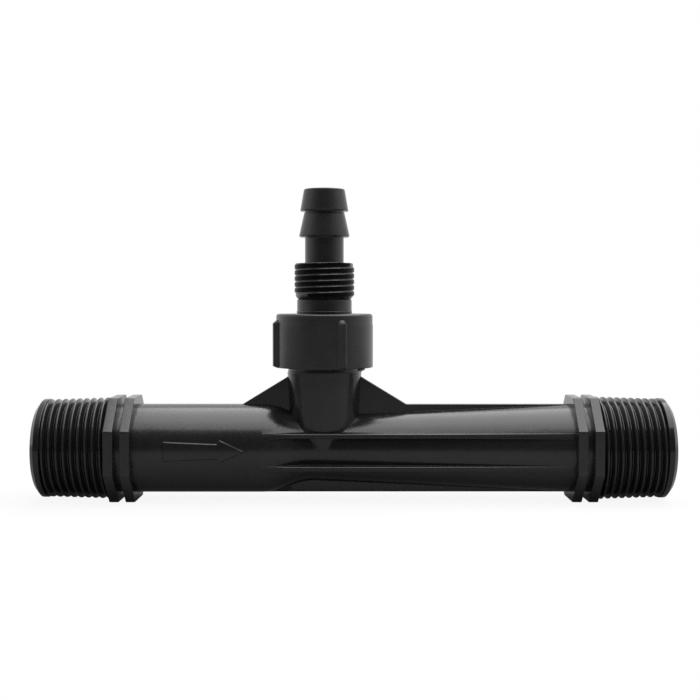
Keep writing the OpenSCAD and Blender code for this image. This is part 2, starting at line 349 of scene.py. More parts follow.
def at_port(shape, z=0.0):
    shape.data.transform(Matrix.Translation((PORT_X, 0, z)))
    return shape


def settle(shape):
    """Turn a piece with live modifiers into a plain mesh."""
    graph = bpy.context.evaluated_depsgraph_get()
    mesh = bpy.data.meshes.new_from_object(shape.evaluated_get(graph))
    old = shape.data
    shape.modifiers.clear()
    shape.data = mesh
    bpy.data.meshes.remove(old)
    return shape


def fused(name, first, added, cut):
    """One moulding: everything added to the first shape, then the hollows cut out."""
    for operation, shapes in (("UNION", added), ("DIFFERENCE", cut)):
        for shape in shapes:
            step = first.modifiers.new(shape.name, "BOOLEAN")
            step.operation = operation
            step.solver = "MANIFOLD"
            step.object = shape
    settle(first)
    for shape in added + cut:
        mesh = shape.data
        bpy.data.objects.remove(shape)
        bpy.data.meshes.remove(mesh)
    first.name = name
    first.data.name = name
    return first


def finished(shape, finish, node, body):
    """Bring a piece to metres, shade it, and set it in place of its solid."""
    clean = bmesh.new()
    clean.from_mesh(shape.data)
    bmesh.ops.remove_doubles(clean, verts=clean.verts, dist=0.002)
    bmesh.ops.dissolve_degenerate(clean, edges=clean.edges, dist=0.001)
    clean.to_mesh(shape.data)
    clean.free()
    shape.data.transform(Matrix.Scale(MM, 4))
    shape.data.materials.clear()
    shape.data.materials.append(finish)
    shape.data.shade_smooth()
    shape.data.set_sharp_from_angle(angle=SHARP)
    weigh = shape.modifiers.new("even_normals", "WEIGHTED_NORMAL")
    weigh.keep_sharp = True
    settle(shape)
    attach(shape, body)
    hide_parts(node)
    return shape


# Geometry Nodes

def new_tree(name, sockets):
    """Empty tree with named inputs; gives the tree, its input node and the inputs' identifiers."""
    tree = bpy.data.node_groups.new(name, "GeometryNodeTree")
    tree.interface.new_socket("Geometry", in_out="OUTPUT", socket_type="NodeSocketGeometry")
    ids = {}
    for label, kind in sockets:
        made = tree.interface.new_socket(label, in_out="INPUT", socket_type="NodeSocket" + kind)
        ids[label] = made.identifier
    return tree, tree.nodes.new("NodeGroupInput"), ids


def add_node(tree, kind, inputs=None, **settings):
    """Node with its settings; each input takes a value or another node's output."""
    made = tree.nodes.new(kind)
    for key, value in settings.items():
        setattr(made, key, value)
    for key, value in (inputs or {}).items():
        if isinstance(value, bpy.types.NodeSocket):
            tree.links.new(value, made.inputs[key])
        else:
            made.inputs[key].default_value = value
    return made


def close_tree(tree, geometry, material):
    real = add_node(tree, "GeometryNodeRealizeInstances", {"Geometry": geometry})
    finish = add_node(tree, "GeometryNodeSetMaterial",
                      {"Geometry": real.outputs[0], "Material": material})
    out = tree.nodes.new("NodeGroupOutput")
    tree.links.new(finish.outputs[0], out.inputs[0])


def grown(name, tree, ids, values):
    """Plain mesh that a tree makes from the given sizes."""
    shape = new_object(name, [], [])
    grow = shape.modifiers.new("grow", "NODES")
    grow.node_group = tree
    for label, value in values.items():
        grow[ids[label]] = value
    return face_outwards(settle(shape))


def thread_tree():
    """Ridge of a screw thread, swept up a helix about Z and faded out at both ends."""
    tree, given, ids = new_tree("thread_ridge", [
        ("Turns", "Float"), ("Rise", "Float"), ("Start radius", "Float"), ("End radius", "Float"),
        ("Steps per turn", "Int"), ("Foot width", "Float"), ("Crest width", "Float"),
        ("Height", "Float"), ("Crest round", "Float"), ("Lean", "Float"), ("Run in", "Float"),
        ("Run out", "Float"), ("Finish", "Material")])
    size = given.outputs
    helix = add_node(tree, "GeometryNodeCurveSpiral", {
        "Resolution": size["Steps per turn"], "Rotations": size["Turns"],
        "Start Radius": size["Start radius"], "End Radius": size["End radius"],
        "Height": size["Rise"], "Reverse": True})
    upright = add_node(tree, "GeometryNodeSetCurveNormal", {"Curve": helix.outputs[0]}, mode="Z_UP")
    place = add_node(tree, "GeometryNodeSplineParameter")
    turn = add_node(tree, "ShaderNodeMath", {0: place.outputs["Factor"], 1: size["Turns"]},
                    operation="MULTIPLY")
    left = add_node(tree, "ShaderNodeMath", {0: size["Turns"], 1: turn.outputs[0]},
                    operation="SUBTRACT")
    fade_in = add_node(tree, "ShaderNodeMapRange", {
        "Value": turn.outputs[0], "From Max": size["Run in"], "To Min": 0.05},
        interpolation_type="SMOOTHSTEP")
    fade_out = add_node(tree, "ShaderNodeMapRange", {
        "Value": left.outputs[0], "From Max": size["Run out"], "To Min": 0.05},
        interpolation_type="SMOOTHSTEP")
    fade = add_node(tree, "ShaderNodeMath", {0: fade_in.outputs[0], 1: fade_out.outputs[0]},
                    operation="MINIMUM")
    form = add_node(tree, "GeometryNodeCurvePrimitiveQuadrilateral", {
        "Height": size["Height"], "Bottom Width": size["Foot width"],
        "Top Width": size["Crest width"], "Offset": size["Lean"]}, mode="TRAPEZOID")
    eased = add_node(tree, "GeometryNodeFilletCurve", {
        "Curve": form.outputs[0], "Count": 3, "Radius": size["Crest round"],
        "Limit Radius": True}, mode="POLY")
    half = add_node(tree, "ShaderNodeMath", {0: size["Height"], 1: 0.5}, operation="MULTIPLY")
    lift = add_node(tree, "ShaderNodeCombineXYZ", {"Y": half.outputs[0]})
    raised = add_node(tree, "GeometryNodeTransform", {
        "Geometry": eased.outputs[0], "Translation": lift.outputs[0]})
    rolled = add_node(tree, "GeometryNodeTransform", {
        "Geometry": raised.outputs[0], "Rotation": (0, 0, THREAD_ROLL)})
    ridge = add_node(tree, "GeometryNodeCurveToMesh", {
        "Curve": upright.outputs[0], "Profile Curve": rolled.outputs[0],
        "Scale": fade.outputs[0], "Fill Caps": True})
    close_tree(tree, ridge.outputs[0], size["Finish"])
    return tree, ids


def collar_tree():
    """Wrench collars: one octagon collar set at two stations of each pipe end."""
    tree, given, ids = new_tree("wrench_collars", [
        ("Collar", "Object"), ("Inner station", "Float"), ("Outer station", "Float"),
        ("Finish", "Material")])
    size = given.outputs
    one = add_node(tree, "GeometryNodeObjectInfo", {"Object": size["Collar"]})
    rows = []
    for side in (1, -1):
        first = add_node(tree, "ShaderNodeMath", {0: size["Inner station"], 1: side},
                         operation="MULTIPLY")
        last = add_node(tree, "ShaderNodeMath", {0: size["Outer station"], 1: side},
                        operation="MULTIPLY")
        start = add_node(tree, "ShaderNodeCombineXYZ", {"X": first.outputs[0]})
        end = add_node(tree, "ShaderNodeCombineXYZ", {"X": last.outputs[0]})
        rows.append(add_node(tree, "GeometryNodeMeshLine", {
            "Count": 2, "Start Location": start.outputs[0], "Offset": end.outputs[0]},
            mode="END_POINTS"))
    stations = tree.nodes.new("GeometryNodeJoinGeometry")
    for row in rows:
        tree.links.new(row.outputs[0], stations.inputs[0])
    collars = add_node(tree, "GeometryNodeInstanceOnPoints", {
        "Points": stations.outputs[0], "Instance": one.outputs["Geometry"]})
    close_tree(tree, collars.outputs[0], size["Finish"])
    return tree, ids


def grip_tree():
    """Grip ribs: one rib set round the nut, two of them at the front and one midway behind."""
    tree, given, ids = new_tree("nut_grips", [
        ("Rib", "Object"), ("Count", "Int"), ("First turn", "Float"), ("Spread", "Float"),
        ("Finish", "Material")])
    size = given.outputs
    one = add_node(tree, "GeometryNodeObjectInfo", {"Object": size["Rib"]})
    spots = add_node(tree, "GeometryNodePoints", {"Count": size["Count"]})
    index = add_node(tree, "GeometryNodeInputIndex")
    front = add_node(tree, "ShaderNodeMath", {0: index.outputs[0], 1: 1.0}, operation="MINIMUM")
    past = add_node(tree, "ShaderNodeMath", {0: index.outputs[0], 1: 1.0}, operation="SUBTRACT")
    back = add_node(tree, "ShaderNodeMath", {0: past.outputs[0], 1: 0.0}, operation="MAXIMUM")
    gap = add_node(tree, "ShaderNodeMath", {0: size["Spread"], 1: -0.5, 2: math.pi},
                   operation="MULTIPLY_ADD")
    second = add_node(tree, "ShaderNodeMath", {
        0: front.outputs[0], 1: size["Spread"], 2: size["First turn"]}, operation="MULTIPLY_ADD")
    third = add_node(tree, "ShaderNodeMath", {
        0: back.outputs[0], 1: gap.outputs[0], 2: second.outputs[0]}, operation="MULTIPLY_ADD")
    spin = add_node(tree, "ShaderNodeCombineXYZ", {"Z": third.outputs[0]})
    ribs = add_node(tree, "GeometryNodeInstanceOnPoints", {
        "Points": spots.outputs[0], "Instance": one.outputs["Geometry"],
        "Rotation": spin.outputs[0]})
    close_tree(tree, ribs.outputs[0], size["Finish"])
    return tree, ids


def spring_tree():
    """Compression spring: round wire swept up a helix about Z."""
    tree, given, ids = new_tree("check_spring_wire", [
        ("Turns", "Float"), ("Rise", "Float"), ("Coil radius", "Float"), ("Wire radius", "Float"),
        ("Finish", "Material")])
    size = given.outputs
    helix = add_node(tree, "GeometryNodeCurveSpiral", {
        "Resolution": TURN_STEPS, "Rotations": size["Turns"], "Start Radius": size["Coil radius"],
        "End Radius": size["Coil radius"], "Height": size["Rise"], "Reverse": True})
    wire = add_node(tree, "GeometryNodeCurvePrimitiveCircle", {
        "Resolution": 16, "Radius": size["Wire radius"]}, mode="RADIUS")
    swept = add_node(tree, "GeometryNodeCurveToMesh", {
        "Curve": helix.outputs[0], "Profile Curve": wire.outputs[0], "Fill Caps": True})
    close_tree(tree, swept.outputs[0], size["Finish"])
    return tree, ids


# Finishes

def along_x(tree, where):
    """Distance from the middle of the pipe along it."""
    axes = add_node(tree, "ShaderNodeSeparateXYZ", {0: where})
    return add_node(tree, "ShaderNodeMath", {0: axes.outputs["X"]}, operation="ABSOLUTE").outputs[0]


def from_port(tree, where):
    """Distance from the axis of the suction port."""
    level = add_node(tree, "ShaderNodeVectorMath", {0: where, 1: (1, 1, 0)}, operation="MULTIPLY")
    return add_node(tree, "ShaderNodeVectorMath", {
        0: level.outputs[0], 1: (PORT_X * MM, 0, 0)}, operation="DISTANCE").outputs["Value"]


def band_mask(tree, away, low, high):
    """One where a distance is inside a band, in millimetres."""
    return add_node(tree, "ShaderNodeMath", {
        0: away, 1: (low + high) / 2 * MM, 2: (high - low) / 2 * MM}, operation="COMPARE").outputs[0]


def new_finish(name):
    """Material with its tree, its shader and the place of each point on the piece."""
    finish = bpy.data.materials.new(name)
    finish.use_nodes = True
    tree = finish.node_tree
    where = add_node(tree, "ShaderNodeTexCoord").outputs["Object"]
    return finish, tree, tree.nodes["Principled BSDF"], where


def two_toned(tree, value, dark, pale, start=0.0, end=1.0):
    """Colour that runs from a dark tone to a pale one as a value rises."""
    tone = add_node(tree, "ShaderNodeValToRGB", {"Fac": value})
    for stop, place, colour in zip(tone.color_ramp.elements, (start, end), (dark, pale)):
        stop.position = place
        stop.color = colour + (1,)
    return tone.outputs[0]


def moulded_plastic(name, colour, roughness, grain, grain_height, drift, band_of):
    """Black moulded plastic: fine mould texture, slow waviness, and a band with its own sheen whose colour
    is darkened as painted shade.
    """
    finish, tree, shader, where = new_finish(name)
    eroded = add_node(tree, "ShaderNodeTexNoise", {
        "Vector": where, "Scale": 1 / (grain * MM), "Detail": 3.0, "Roughness": 0.55})
    wavy = add_node(tree, "ShaderNodeTexNoise", {
        "Vector": where, "Scale": 1 / (drift * MM), "Detail": 2.0})
    band = 0.0
    shine, painted_shade_factor, smooth = 0.5, 1.0, roughness
    if band_of:
        distance, low, high, shine, painted_shade_factor, smooth = band_of
        band = band_mask(tree, distance(tree, where), low, high)
    mirror = add_node(tree, "ShaderNodeMix", {0: band, 2: 0.5, 3: shine})
    tree.links.new(mirror.outputs[0], shader.inputs["Specular IOR Level"])
    tint = add_node(tree, "ShaderNodeMapRange", {
        "Value": wavy.outputs[0], "From Min": 0.3, "From Max": 0.7, "To Min": 0.85, "To Max": 1.15})
    # Painted shade: inside the band the colour is darkened to stand in for the shade of thread grooves and
    # the dark reflections on the crests.
    painted_shade = add_node(tree, "ShaderNodeMath", {0: tint.outputs[0], 1: painted_shade_factor},
                    operation="MULTIPLY")
    depth = add_node(tree, "ShaderNodeMix", {0: band, 2: tint.outputs[0], 3: painted_shade.outputs[0]})
    shade = add_node(tree, "ShaderNodeVectorMath", {0: colour}, operation="SCALE")
    tree.links.new(depth.outputs[0], shade.inputs["Scale"])
    tree.links.new(shade.outputs[0], shader.inputs["Base Color"])
    sheen = add_node(tree, "ShaderNodeMapRange", {
        "Value": eroded.outputs[0], "From Min": 0.3, "From Max": 0.7,
        "To Min": roughness - 0.05, "To Max": roughness + 0.07})
    gloss = add_node(tree, "ShaderNodeMix", {0: band, 2: sheen.outputs[0], 3: smooth})
    tree.links.new(gloss.outputs[0], shader.inputs["Roughness"])
    swell = add_node(tree, "ShaderNodeBump", {
        "Height": wavy.outputs[0], "Strength": 0.25, "Distance": 0.12 * MM})
    skin = add_node(tree, "ShaderNodeBump", {
        "Height": eroded.outputs[0], "Strength": 1.0, "Distance": grain_height * MM,
        "Normal": swell.outputs[0]})
    tree.links.new(skin.outputs[0], shader.inputs["Normal"])
    return finish


def seal_rubber():
    """Dull grey moulded rubber, with a bloom of paler specks."""
    finish, tree, shader, where = new_finish("seal_rubber")
    shader.inputs["Specular IOR Level"].default_value = 0.35
    bloom = add_node(tree, "ShaderNodeTexNoise", {
        "Vector": where, "Scale": 900.0, "Detail": 5.0, "Roughness": 0.6})
    tone = two_toned(tree, bloom.outputs[0], (0.035, 0.035, 0.036), (0.075, 0.074, 0.073), 0.35, 0.75)
    tree.links.new(tone, shader.inputs["Base Color"])
    dull = add_node(tree, "ShaderNodeMapRange", {
        "Value": bloom.outputs[0], "To Min": 0.62, "To Max": 0.85})
    tree.links.new(dull.outputs[0], shader.inputs["Roughness"])
    skin = add_node(tree, "ShaderNodeBump", {
        "Height": bloom.outputs[0], "Strength": 0.5, "Distance": 0.05 * MM})
    tree.links.new(skin.outputs[0], shader.inputs["Normal"])
    return finish


def ground_acetal():
    """White ground ball, with faint lapping marks."""
    finish, tree, shader, where = new_finish("ground_acetal")
    shader.inputs["Subsurface Weight"].default_value = 0.15
    shader.inputs["Subsurface Radius"].default_value = (0.001, 0.0009, 0.0007)
    lapped = add_node(tree, "ShaderNodeTexNoise", {
        "Vector": where, "Scale": 2600.0, "Detail": 4.0, "Distortion": 1.5})
    tone = two_toned(tree, lapped.outputs[0], (0.72, 0.72, 0.67), (0.83, 0.83, 0.80))
    tree.links.new(tone, shader.inputs["Base Color"])
    gloss = add_node(tree, "ShaderNodeMapRange", {
        "Value": lapped.outputs[0], "To Min": 0.2, "To Max": 0.36})
    tree.links.new(gloss.outputs[0], shader.inputs["Roughness"])
    return finish


def drawn_wire():
    """Stainless spring wire with fine drawing marks."""
    finish, tree, shader, where = new_finish("drawn_wire")
    shader.inputs["Metallic"].default_value = 1.0
    flat = add_node(tree, "ShaderNodeMapping", {"Vector": where, "Scale": (400.0, 400.0, 6000.0)})
    marks = add_node(tree, "ShaderNodeTexNoise", {
        "Vector": flat.outputs[0], "Scale": 1.0, "Detail": 4.0})
    tone = two_toned(tree, marks.outputs[0], (0.50, 0.51, 0.53), (0.70, 0.71, 0.72))
    tree.links.new(tone, shader.inputs["Base Color"])
    gloss = add_node(tree, "ShaderNodeMapRange", {
        "Value": marks.outputs[0], "To Min": 0.22, "To Max": 0.4})
    tree.links.new(gloss.outputs[0], shader.inputs["Roughness"])
    return finish


# Body

def smooth_min(a, b, blend):
    overlap = max(blend - abs(a - b), 0) / blend
    return min(a, b) - overlap * overlap * blend / 4


def skin_radius(x):
    """Outside radius between the inlet tube and the outlet collar."""
    shoulder = TUBE_R - SHOULDER_FALL * (x - SHOULDER_X)
    rise = (DIFFUSER_END_R - THROAT_OUT_R) / (COLLAR_IN_X - PORT_X)
    cone = THROAT_OUT_R + rise * (x - PORT_X)
    return -smooth_min(-smooth_min(TUBE_R, shoulder, SHOULDER_ROUND), -cone, SHOULDER_FOOT)


def ribbed_quarter(r, reach):
    """Quarter of the diffuser's outline, from the middle of its front to the middle of its top."""
    low = SIDE_RIB_H - SIDE_RIB_T / 2
    high = SIDE_RIB_H + SIDE_RIB_T / 2
    half = RIB_T / 2
    side_room = math.sqrt(reach ** 2 - low ** 2) - math.sqrt(r ** 2 - low ** 2)
    fillet = min(RIB_FILLET, 0.4 * side_room)
    edge = min(SIDE_RIB_EDGE, 0.3 * side_room)
    crisp = min(CROWN_EDGE, 0.3 * side_room)
    inner = reach - edge
    outer = r + fillet

    under = (math.sqrt(outer ** 2 - (low - fillet) ** 2), low - fillet)
    under_turn = math.atan2(under[1], under[0])
    tip_low = (math.sqrt(inner ** 2 - (low + edge) ** 2), low + edge)
    tip_low_turn = math.atan2(tip_low[1], tip_low[0])
    tip_high = (math.sqrt(inner ** 2 - (high - edge) ** 2), high - edge)
    tip_high_turn = math.atan2(tip_high[1], tip_high[0])
    over = (math.sqrt(outer ** 2 - (high + fillet) ** 2), high + fillet)
    over_turn = math.atan2(over[1], over[0])
    foot = (half + fillet, math.sqrt(outer ** 2 - (half + fillet) ** 2))
    foot_turn = math.atan2(foot[1], foot[0])
    crown = (half - crisp, math.sqrt((reach - crisp) ** 2 - (half - crisp) ** 2))
    crown_turn = math.atan2(crown[1], crown[0])

    right = math.pi / 2
    points = arc((0, 0), r, 0, under_turn, 6)[:-1]
    points += arc(under, fillet, under_turn + math.pi, right, ARC_STEPS)
    points += arc(tip_low, edge, -right, tip_low_turn, ARC_STEPS + 2)
    points += arc((0, 0), reach, tip_low_turn, tip_high_turn, 3)[1:-1]
    points += arc(tip_high, edge, tip_high_turn, right, ARC_STEPS + 2)
    points += arc(over, fillet, -right, over_turn - math.pi, ARC_STEPS)
    points += arc((0, 0), r, over_turn, foot_turn, 12)[1:-1]
    points += arc(foot, fillet, foot_turn + math.pi, math.pi, ARC_STEPS)
    points += arc(crown, crisp, 0, crown_turn, ARC_STEPS - 1)
    points += arc((0, 0), reach, crown_turn, right, 2)[1:]
    return points


def ribbed_skin():
    """Shoulder, throat and diffuser with their upright and level ribs."""
    stations = [ROUND_X - 0.6 + 0.3 * i for i in range(44)]
    x = stations[-1]
    while x < COLLAR_IN_X:
        x += 2.4
        stations.append(x)
    stations = [x for x in stations if x < COLLAR_IN_X] + [COLLAR_IN_X + COLLAR_W / 2]
    rings = []
    for x in stations:
        reach = TUBE_R - 0.004
        r = min(skin_radius(x), reach - 0.02)
        ring = mirrored_ring(ribbed_quarter(r, reach))
        rings.append([(x, -a, AXIS_Z + b) for a, b in ring])
    return lofted("ribbed_skin", rings)


def inlet_tube():
    start = -COLLAR_IN_X - COLLAR_W / 2
    end = ROUND_X
    return along_pipe(turned("inlet_tube", [
        (0, start, 0), (TUBE_R, start, 0), (TUBE_R, end, 0), (0, end, 0)]))


def pipe_end(turn, thread_r, lead_len):
    """Core of one pipe end, from inside the collars to the chamfered lead-in ring at the tip."""
    start = COLLAR_IN_X + COLLAR_W / 4
    step = COLLAR_OUT_X - COLLAR_W / 2
    lead = HALF_LEN - lead_len
    root = thread_r - THREAD_DEPTH
    rim = thread_r - LEAD_DROP
    return along_pipe(turned("pipe_end", [
        (0, start, 0), (TUBE_R, start, 0), (TUBE_R, step, 0), (root, step, 0),
        (root - THREAD_TAPER, lead, 0.1), (rim, lead + 0.35, 0.15),
        (rim, HALF_LEN - LEAD_CHAMFER, 0.2), (rim - 1.25 * LEAD_CHAMFER, HALF_LEN, 0.15),
        (0, HALF_LEN, 0)]), turn)


def pipe_thread(turn, thread_r, top_crest, tree, ids, finish):
    """Right-hand tapered thread that passes the top of the pipe at the given station."""
    start = COLLAR_OUT_X - 1.0
    rise = HALF_LEN - 1.2 - start
    roll = math.pi - 2 * math.pi * (top_crest - start) / THREAD_PITCH
    sink = 0.35
    core = thread_r - THREAD_DEPTH - sink
    ridge = grown("pipe_thread", tree, ids, {
        "Turns": rise / THREAD_PITCH, "Rise": rise, "Start radius": core,
        "End radius": core - THREAD_TAPER, "Steps per turn": TURN_STEPS,
        "Foot width": 0.98 * THREAD_PITCH + 1.04 * sink, "Crest width": THREAD_CREST,
        "Height": THREAD_DEPTH + sink, "Crest round": 0.3, "Lean": 0.0, "Run in": 0.05,
        "Run out": 0.5, "Finish": finish})
    ridge.data.transform(Matrix.Translation((0, 0, start)) @ Matrix.Rotation(roll, 4, "Z"))
    return along_pipe(ridge, turn)


def collar_blank():
    """One octagon collar with eased edges, standing across X at the origin."""
    corner = (AXIS_Z - body_low[2]) / math.cos(math.pi / COLLAR_SIDES)
    rings = []
    for x in (-COLLAR_W / 2, COLLAR_W / 2):
        ring = []
        for k in range(COLLAR_SIDES):
            a = 2 * math.pi * (k + 0.5) / COLLAR_SIDES
            ring.append((x, corner * math.cos(a), AXIS_Z + corner * math.sin(a)))
        rings.append(ring)
    blank = lofted("collar_blank", rings)
    ease = blank.modifiers.new("eased_edges", "BEVEL")
    ease.width = COLLAR_EDGE
    ease.segments = 3
    ease.limit_method = "ANGLE"
    ease.angle_limit = math.radians(30)
    return settle(blank)


def boss_quarter(r, reach):
    """Quarter of the boss with its gusset, from the boss's front to the gusset's outer edge."""
    half = GUSSET_T / 2
    room = reach - math.sqrt(r ** 2 - half ** 2)
    fillet = min(GUSSET_FILLET, 0.5 * room)
    edge = min(GUSSET_EDGE, 0.4 * room)
    root = (math.sqrt((r + fillet) ** 2 - (half + fillet) ** 2), half + fillet)
    turn = math.atan2(root[1], root[0])
    right = math.pi / 2
    points = arc((0, 0), r, right, turn, 20)[:-1]
    points += arc(root, fillet, turn + math.pi, 3 * right, ARC_STEPS)
    points += arc((reach - edge, half - edge), edge, right, 0, ARC_STEPS)
    points.append((reach, 0))
    return [(b, a) for a, b in points]


def boss_with_gussets():
    """Drafted boss and its two gussets, lofted upwards from inside the throat."""
    draft = (BOSS_TOP_R - BOSS_FOOT_R) / (BOSS_CONE_TOP - AXIS_Z)
    hidden = THROAT_OUT_R + 0.2
    bare = 0.004
    slope = [GUSSET_FOOT + (GUSSET_TOP - GUSSET_FOOT) * i / 12 for i in range(13)]
    top_reach = BOSS_FOOT_R + draft * GUSSET_TOP
    levels = [(-1.0, None), (hidden - 0.01, None), (hidden, GUSSET_RUN)]
    levels += [(z, GUSSET_RUN + (top_reach - GUSSET_RUN) * i / 12) for i, z in enumerate(slope)]
    levels += [(BOSS_CONE_TOP - AXIS_Z, None)]
    rings = []
    for z, reach in levels:
        r = BOSS_FOOT_R + draft * z
        ring = mirrored_ring(boss_quarter(r, max(reach or 0, r + bare)))
        rings.append([(PORT_X + b, a, AXIS_Z + z) for a, b in ring])
    return lofted("boss_with_gussets", rings)


def boss_neck():
    root = BOSS_THREAD_R - THREAD_DEPTH
    return at_port(turned("boss_neck", [
        (0, BOSS_CONE_TOP - 0.4, 0), (BOSS_TOP_R - 0.06, BOSS_CONE_TOP - 0.4, 0),
        (BOSS_TOP_R - 0.06, BOSS_CONE_TOP + 0.3, 0.1), (root, BOSS_CONE_TOP + 0.5, 0),
        (root, RIM_Z, 0.4), (0, RIM_Z, 0)]))


def boss_thread(tree, ids, finish):
    start = BOSS_CONE_TOP + 0.55
    rise = RIM_Z - 1.0 - start
    roll = math.radians(-35)
    sink = 0.3
    ridge = grown("boss_thread", tree, ids, {
        "Turns": rise / THREAD_PITCH, "Rise": rise,
        "Start radius": BOSS_THREAD_R - THREAD_DEPTH - sink,
        "End radius": BOSS_THREAD_R - THREAD_DEPTH - sink, "Steps per turn": TURN_STEPS,
        "Foot width": 0.96 * THREAD_PITCH + 1.04 * sink, "Crest width": 0.36,
        "Height": THREAD_DEPTH + sink, "Crest round": 0.16, "Lean": 0.0, "Run in": 0.1,
        "Run out": 0.4, "Finish": finish})
    ridge.data.transform(Matrix.Rotation(roll, 4, "Z"))
    return at_port(ridge, start)


def arrow_half(x):
    """Half height of the arrow's outline at a station along the pipe."""
    back = ARROW_TIP_X - x
    if back <= ARROW_HEAD:
        return ARROW_HALF * back / ARROW_HEAD
    if back <= ARROW_HEAD + ARROW_NOTCH:
        return ARROW_HALF + (ARROW_NECK - ARROW_HALF) * (back - ARROW_HEAD) / ARROW_NOTCH
    share = (back - ARROW_HEAD - ARROW_NOTCH) / (ARROW_LEN - ARROW_HEAD - ARROW_NOTCH)
    return ARROW_NECK + (ARROW_TAIL - ARROW_NECK) * share


def flow_arrow():
    """Raised arrow that follows the round of the tube, with drafted sides and eased edges."""
    backs = [0.12, 0.5, 1.5, 3.0, 4.5, ARROW_HEAD - 0.1, ARROW_HEAD]
    backs += [ARROW_HEAD + ARROW_NOTCH, ARROW_HEAD + ARROW_NOTCH + ARROW_DRAFT]
    backs += [8.0, 10.0, 12.0, 14.0, 16.0, 18.0, ARROW_LEN - ARROW_EASE, ARROW_LEN]
    across = 8
    rings = []
    for end, back in [("tip", backs[0])] + [("", b) for b in backs] + [("tail", backs[-1])]:
        x = ARROW_TIP_X - back
        half = arrow_half(x)
        rise = ARROW_RISE - ARROW_EASE if back in (backs[0], backs[-1]) else ARROW_RISE
        if end:
            x += ARROW_DRAFT if end == "tip" else -ARROW_DRAFT
            rise = ARROW_SUNK
        foot = max(half, arrow_half(x + ARROW_DRAFT)) + ARROW_DRAFT
        profile = [(-foot, ARROW_SUNK), (-half, min(rise, ARROW_RISE - ARROW_EASE))]
        inset = max(half - ARROW_EASE, 0.5 * half)
        profile += [(inset * (2 * i / across - 1), rise) for i in range(across + 1)]
        profile += [(half, min(rise, ARROW_RISE - ARROW_EASE)), (foot, ARROW_SUNK)]
        ring = []
        for across_z, up in profile:
            r = TUBE_R + up
            z = ARROW_LIFT + across_z
            ring.append((x, -math.sqrt(r * r - z * z), AXIS_Z + z))
        ring += [(x, -TUBE_R + 1.2, AXIS_Z + ARROW_LIFT + half),
                 (x, -TUBE_R + 1.2, AXIS_Z + ARROW_LIFT - half)]
        rings.append(ring)
    return lofted("flow_arrow", rings)


def water_way():
    over = 1.0
    inlet = -HALF_LEN
    return along_pipe(turned("water_way", [
        (0, inlet - over, 0), (BORE_R + BORE_EDGE, inlet - over, 0), (BORE_R + BORE_EDGE, inlet, 0),
        (BORE_R, inlet + BORE_EDGE, 0), (BORE_R, inlet + INLET_BORE, 1.5),
        (THROAT_R, PORT_X - THROAT_LEN / 2, 1.0), (THROAT_R, PORT_X + THROAT_LEN / 2, 1.0),
        (BORE_R, HALF_LEN - OUTLET_BORE, 1.5), (BORE_R, HALF_LEN - BORE_EDGE, 0),
        (BORE_R + BORE_EDGE, HALF_LEN, 0), (BORE_R + BORE_EDGE, HALF_LEN + over, 0),
        (0, HALF_LEN + over, 0)]))


def suction_way():
    return at_port(turned("suction_way", [
        (0, AXIS_Z, 0), (SUCTION_R, AXIS_Z, 0), (SUCTION_R, CHAMBER_Z, 0.15),
        (CHAMBER_R, CHAMBER_Z, 0.4), (CHAMBER_R, RIM_Z - 0.3, 0), (CHAMBER_R + 0.3, RIM_Z, 0),
        (CHAMBER_R + 0.3, RIM_Z + 1, 0), (0, RIM_Z + 1, 0)]))


def make_body(finish, tree, ids):
    blank = collar_blank()
    collars_tree, collar_ids = collar_tree()
    inner = COLLAR_IN_X + COLLAR_W / 2
    collars = grown("collars", collars_tree, collar_ids, {
        "Collar": blank, "Inner station": inner, "Outer station": COLLAR_OUT_X - COLLAR_W / 2,
        "Finish": finish})
    bpy.data.objects.remove(blank)
    added = [inlet_tube(), collars]
    for turn, thread_r, lead_len, top_crest in (
            (0.0, OUTLET_R, OUTLET_LEAD, OUTLET_TOP_CREST),
            (math.pi, INLET_R, INLET_LEAD, INLET_TOP_CREST)):
        added.append(pipe_end(turn, thread_r, lead_len))
        added.append(pipe_thread(turn, thread_r, top_crest, tree, ids, finish))
    added += [boss_with_gussets(), boss_neck(), boss_thread(tree, ids, finish), flow_arrow()]
    body = fused("venturi_body", ribbed_skin(), added, [water_way(), suction_way()])
    finished(body, finish, "body", "pipe")
    return body


# Union nut, hose tail, gasket and spring

def grip_rib():
    """One grip rib on the +X side: an arched outline with a rounded outer edge."""
    half = GRIP_W / 2
    arch_z = NUT_TOP_Z - GRIP_DROP - half
    out = NUT_R + GRIP_RISE
    layers = [(NUT_R - 0.6, 0.0), (NUT_R, 0.0), (out - GRIP_EDGE, GRIP_DRAFT)]
    for x, inset in arc((out - GRIP_EDGE, GRIP_DRAFT + GRIP_EDGE), GRIP_EDGE, -math.pi / 2, 0, 5)[1:]:
        layers.append((x, inset))
    rings = []
    for x, inset in layers:
        foot = NUT_LOW_Z + 0.5 * inset
        outline = [(inset - half, foot), (half - inset, foot)]
        outline += arc((0, arch_z), half - inset, 0, math.pi, 16)
        rings.append([(x, y, z) for y, z in outline])
    return lofted("grip_rib", rings)


